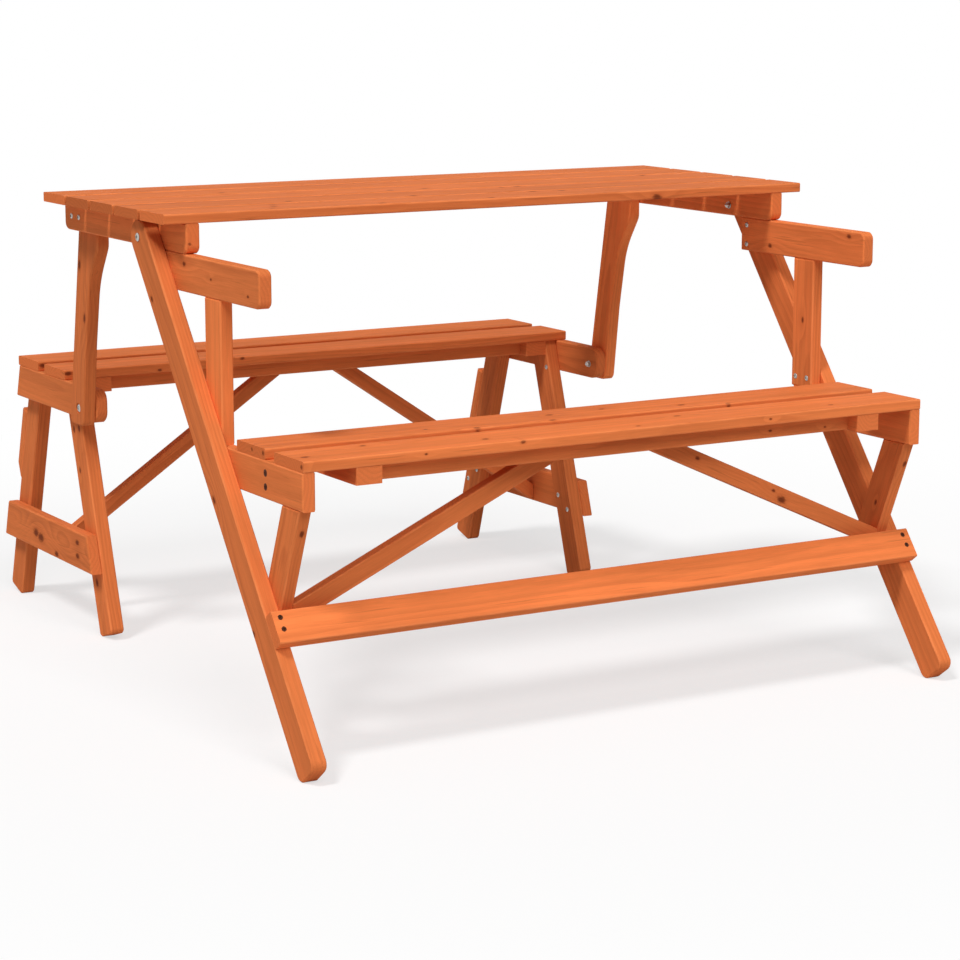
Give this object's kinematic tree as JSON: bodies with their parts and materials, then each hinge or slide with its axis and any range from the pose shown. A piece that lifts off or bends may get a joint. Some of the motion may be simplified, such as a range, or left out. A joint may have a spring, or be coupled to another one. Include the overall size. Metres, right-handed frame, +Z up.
{
  "type": "convertible picnic table bench",
  "caption": "Slatted wooden picnic table with two benches; the table top tilts down into a backrest while its arms carry the rear bench forward to make one deep garden bench.",
  "frame": {"origin": "on the floor, under the middle of the whole object's box, in the middle of its length", "axes": "+X along the benches to the right seen from the front bench, +Y from the front bench to the rear bench, +Z up"},
  "size_m": [1.145, 1.3569, 0.75],
  "materials": {
    "stained_fir": "orange-brown stain, satin, open grain",
    "zinc_bolt": "bright zinc plate",
    "dark_screw": "dark phosphated screw heads"
  },
  "bodies": {
    "front_bench": {"arm_post_left": "stained_fir", "arm_post_right": "stained_fir", "armrest_bolts": "zinc_bolt", "armrest_left": "stained_fir", "armrest_right": "stained_fir", "footrest_board": "stained_fir", "footrest_screws": "dark_screw", "front_brace_left": "stained_fir", "front_brace_right": "stained_fir", "front_cross_batten_left": "stained_fir", "front_cross_batten_right": "stained_fir", "front_leg_left": "stained_fir", "front_leg_right": "stained_fir", "front_rail_left": "stained_fir", "front_rail_right": "stained_fir", "front_rail_screws": "dark_screw", "front_seat_apron": "stained_fir", "front_seat_slat_1": "stained_fir", "front_seat_slat_2": "stained_fir", "front_seat_strip": "stained_fir", "post_bolts": "zinc_bolt", "strut_left": "stained_fir", "strut_right": "stained_fir", "table_pivot_bolts": "zinc_bolt", "table_pivot_nuts": "zinc_bolt"},
    "table_top": {"table_slat_1": "stained_fir", "table_slat_2": "stained_fir", "table_slat_3": "stained_fir", "table_slat_4": "stained_fir", "table_slat_5": "stained_fir", "table_arm_left": "stained_fir", "table_arm_right": "stained_fir", "table_batten_left": "stained_fir", "table_batten_right": "stained_fir", "arm_bolts": "zinc_bolt"},
    "rear_bench": {"leg_top_bolts": "zinc_bolt", "rear_bench_back_leg_left": "stained_fir", "rear_bench_back_leg_right": "stained_fir", "rear_bench_front_leg_left": "stained_fir", "rear_bench_front_leg_right": "stained_fir", "rear_brace_left": "stained_fir", "rear_brace_right": "stained_fir", "rear_cross_batten_left": "stained_fir", "rear_cross_batten_right": "stained_fir", "rear_pivot_bolts": "zinc_bolt", "rear_pivot_nuts": "zinc_bolt", "rear_rail_left": "stained_fir", "rear_rail_right": "stained_fir", "rear_seat_apron": "stained_fir", "rear_seat_slat_1": "stained_fir", "rear_seat_slat_2": "stained_fir", "rear_seat_strip": "stained_fir", "rest_block_left": "stained_fir", "rest_block_right": "stained_fir", "stretcher_bolts": "zinc_bolt", "stretcher_left": "stained_fir", "stretcher_right": "stained_fir"}
  },
  "joints": [
    {"name": "table_fold", "type": "hinge", "parent": "front_bench", "child": "table_top", "pos_m": [0, -0.12753, 0.707], "axis": [-1, 0, 0], "range_deg": [0, 99.08]},
    {"name": "rear_bench_swing", "type": "hinge", "parent": "table_top", "child": "rear_bench", "pos_m": [0, 0.23947, 0.394], "axis": [-1, 0, 0], "range_deg": [-99.08, 0]}
  ],
  "couplings": [
    {"joint": "rear_bench_swing", "follows": "table_fold", "ratio": -1}
  ]
}
